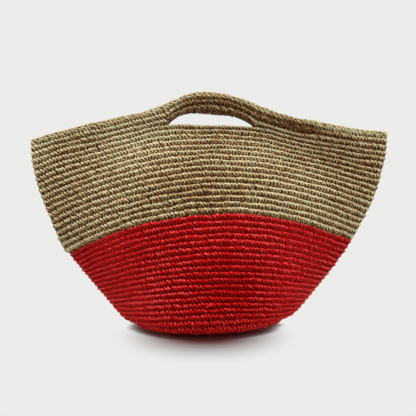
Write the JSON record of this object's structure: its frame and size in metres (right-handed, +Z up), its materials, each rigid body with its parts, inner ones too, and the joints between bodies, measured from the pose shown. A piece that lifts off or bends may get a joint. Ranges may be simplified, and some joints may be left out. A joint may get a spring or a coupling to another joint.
{
  "type": "woven handbag",
  "caption": "Crocheted raffia handbag with a round base, two-colour wall of stacked rounds, a flattened mouth and an integral handle slit in the front and rear.",
  "frame": {"origin": "the middle of the flat underside of the round base, on the surface that the bag stands on", "axes": "+Z up, +X along the mouth towards the right side fold, -Y out of the front wall"},
  "size_m": [0.4636, 0.2138, 0.3035],
  "materials": {
    "red_raffia": "raffia yarn with a soft sheen, crocheted tightly in rounds",
    "natural_raffia": "marled olive, tan and brown raffia yarn, crocheted tightly in rounds"
  },
  "bodies": {
    "bag": {"base_disc": "red_raffia", "red_round_01": "red_raffia", "red_round_02": "red_raffia", "red_round_03": "red_raffia", "red_round_04": "red_raffia", "red_round_05": "red_raffia", "red_round_06": "red_raffia", "red_round_07": "red_raffia", "red_round_08": "red_raffia", "red_round_09": "red_raffia", "red_round_10": "red_raffia", "red_round_11": "red_raffia", "red_round_12": "red_raffia", "red_round_13": "red_raffia", "red_round_14": "red_raffia", "red_round_15": "red_raffia", "red_round_16": "red_raffia", "red_round_17": "red_raffia", "red_round_18": "red_raffia", "red_round_19": "red_raffia", "natural_round_01": "natural_raffia", "natural_round_02": "natural_raffia", "natural_round_03": "natural_raffia", "natural_round_04": "natural_raffia", "natural_round_05": "natural_raffia", "natural_round_06": "natural_raffia", "natural_round_07": "natural_raffia", "natural_round_08": "natural_raffia", "natural_round_09": "natural_raffia", "natural_round_10": "natural_raffia", "natural_round_11": "natural_raffia", "natural_round_12": "natural_raffia", "natural_round_13": "natural_raffia", "natural_round_14": "natural_raffia", "natural_round_15": "natural_raffia", "natural_round_16": "natural_raffia", "right_rim_round_1": "natural_raffia", "right_rim_round_2": "natural_raffia", "right_rim_round_3": "natural_raffia", "left_rim_round_1": "natural_raffia", "left_rim_round_2": "natural_raffia", "left_rim_round_3": "natural_raffia"},
    "front_handle": {"front_handle_round_1": "natural_raffia", "front_handle_round_2": "natural_raffia", "front_handle_round_3": "natural_raffia"},
    "rear_handle": {"rear_handle_round_1": "natural_raffia", "rear_handle_round_2": "natural_raffia", "rear_handle_round_3": "natural_raffia"}
  },
  "joints": [
    {"name": "front_handle_swing", "type": "hinge", "parent": "bag", "child": "front_handle", "pos_m": [0, -0.0137, 0.2805], "axis": [1, 0, 0], "range_deg": [-18, 40], "stiffness_Nm_per_rad": 0.05},
    {"name": "rear_handle_swing", "type": "hinge", "parent": "bag", "child": "rear_handle", "pos_m": [0, 0.0137, 0.2805], "axis": [-1, 0, 0], "range_deg": [-18, 40], "stiffness_Nm_per_rad": 0.05}
  ]
}
